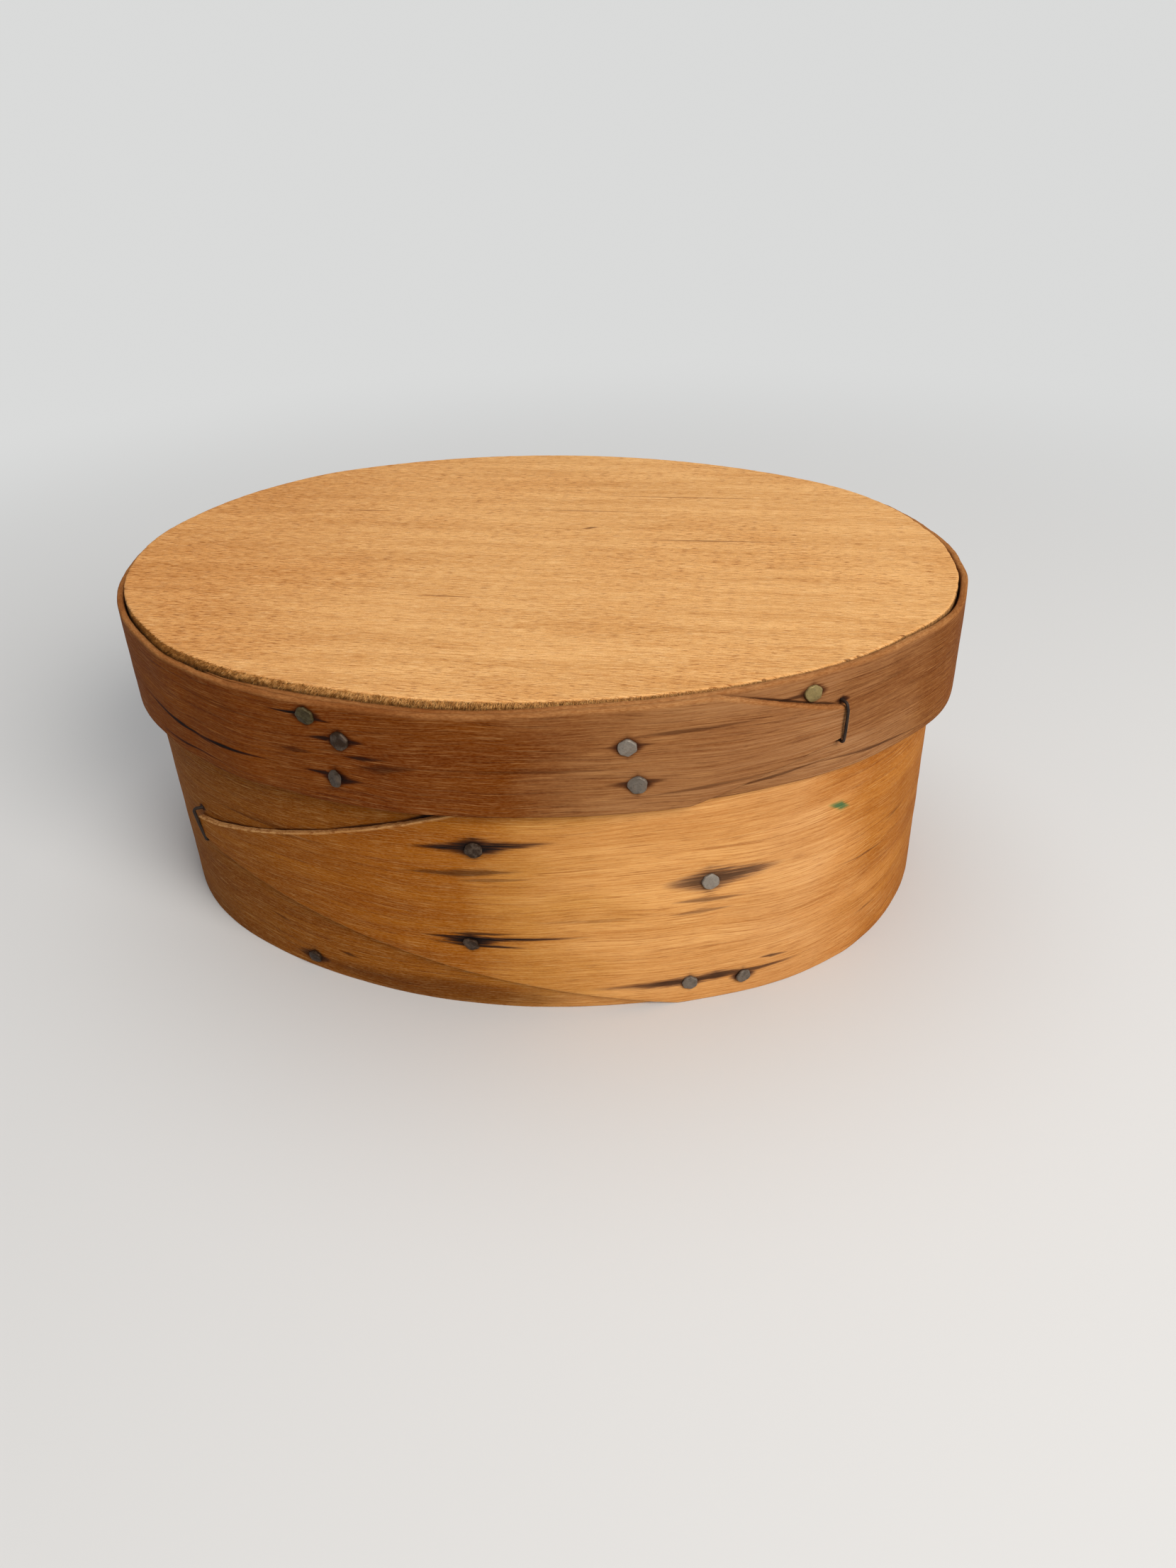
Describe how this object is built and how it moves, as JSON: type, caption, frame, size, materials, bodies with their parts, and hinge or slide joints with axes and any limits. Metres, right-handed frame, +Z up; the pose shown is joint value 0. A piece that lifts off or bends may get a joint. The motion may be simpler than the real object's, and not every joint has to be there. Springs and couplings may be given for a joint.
{
  "type": "oval bentwood box with lid",
  "caption": "Oval box of a thin bent wooden band on a flat base board, with an overlapping lift-off lid; each band closes in a tacked front lap with a tapering finger.",
  "frame": {"origin": "centre of the underside of the base board, which is the plane the box stands on", "axes": "+X along the long axis to the right of the laps, +Y to the back, +Z up, the way the lid lifts off; the laps and fingers of both bands face -Y"},
  "size_m": [0.2398, 0.1826, 0.0955],
  "materials": {
    "honey_board": "aged pale board, dry and open grained",
    "base_wood": "aged pale board, unfinished",
    "walnut_band": "aged bentwood strip, dark and lightly worn",
    "tan_band": "aged bentwood strip, orange to golden tan, lightly worn",
    "dull_iron": "dull oxidised iron",
    "old_brass": "tarnished brass"
  },
  "bodies": {
    "box": {"base_board": "base_wood", "side_band": "tan_band", "side_staple": "dull_iron", "side_tack_upper": "dull_iron", "side_tack_lower": "dull_iron", "side_tack_right": "dull_iron", "base_nail_left": "dull_iron", "base_nail_middle": "dull_iron", "base_nail_right": "dull_iron", "base_nails_back": "dull_iron"},
    "lid": {"lid_board": "honey_board", "lid_band": "walnut_band", "lid_staple": "dull_iron", "lid_tack_upper_left": "dull_iron", "lid_tack_lower_left": "dull_iron", "lid_tack_upper_right": "dull_iron", "lid_tack_lower_right": "dull_iron", "lid_nail_left": "old_brass", "lid_nail_right": "old_brass", "lid_nails_back": "old_brass"}
  },
  "joints": [
    {"name": "lid_lift", "type": "slide", "parent": "box", "child": "lid", "axis": [0, 0, 1], "range_m": [0, 0.06]}
  ]
}
